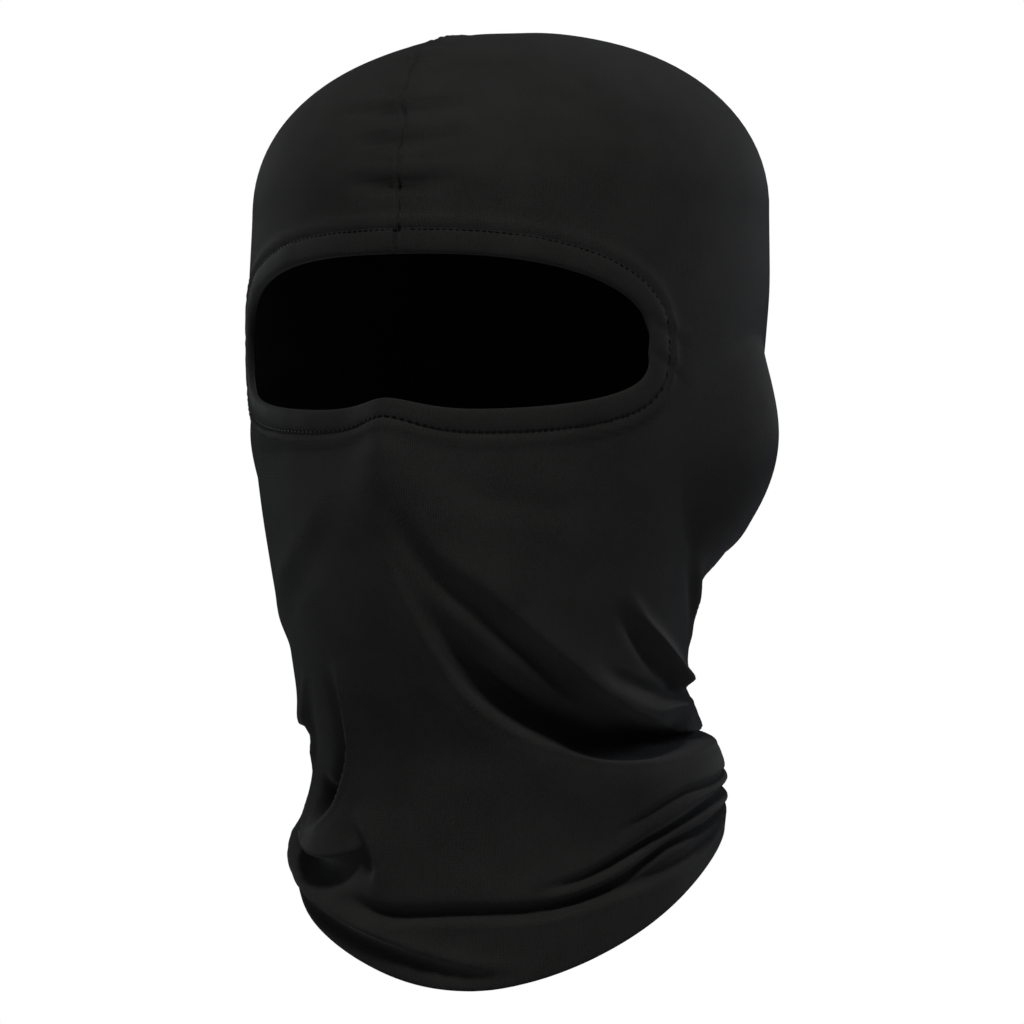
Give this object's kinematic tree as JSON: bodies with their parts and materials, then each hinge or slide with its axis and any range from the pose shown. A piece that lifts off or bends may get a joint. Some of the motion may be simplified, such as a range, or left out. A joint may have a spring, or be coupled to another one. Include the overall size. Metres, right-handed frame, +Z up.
{
  "type": "balaclava",
  "caption": "Full-head balaclava of thin black stretch knit with one wide bound eye opening, a seam over the crown and down the back, and a loose collar with a deep front bib.",
  "frame": {"origin": "middle of the head at hat-line level, 60 mm below the top of the crown", "axes": "+Z up through the crown, -Y towards the front where the eye opening is, +X towards the wearer's left"},
  "size_m": [0.175, 0.2144, 0.3102],
  "materials": {
    "shell_knit": "matte fine single-jersey stretch knit",
    "binding_knit": "matte stretch knit, folded and pulled tight",
    "elastic_tape": "flat woven elastic",
    "sewing_thread": "spun polyester thread with a slight sheen",
    "label_cloth": "satin ribbon, blank"
  },
  "bodies": {
    "root": {"shell": "shell_knit", "eye_binding": "binding_knit", "eye_elastic": "elastic_tape", "binding_topstitch": "sewing_thread", "binding_looper_thread": "sewing_thread", "binding_join_stitch": "sewing_thread", "centre_seam_overlock": "sewing_thread", "hem_stitch": "sewing_thread", "care_label": "label_cloth"}
  },
  "joints": []
}
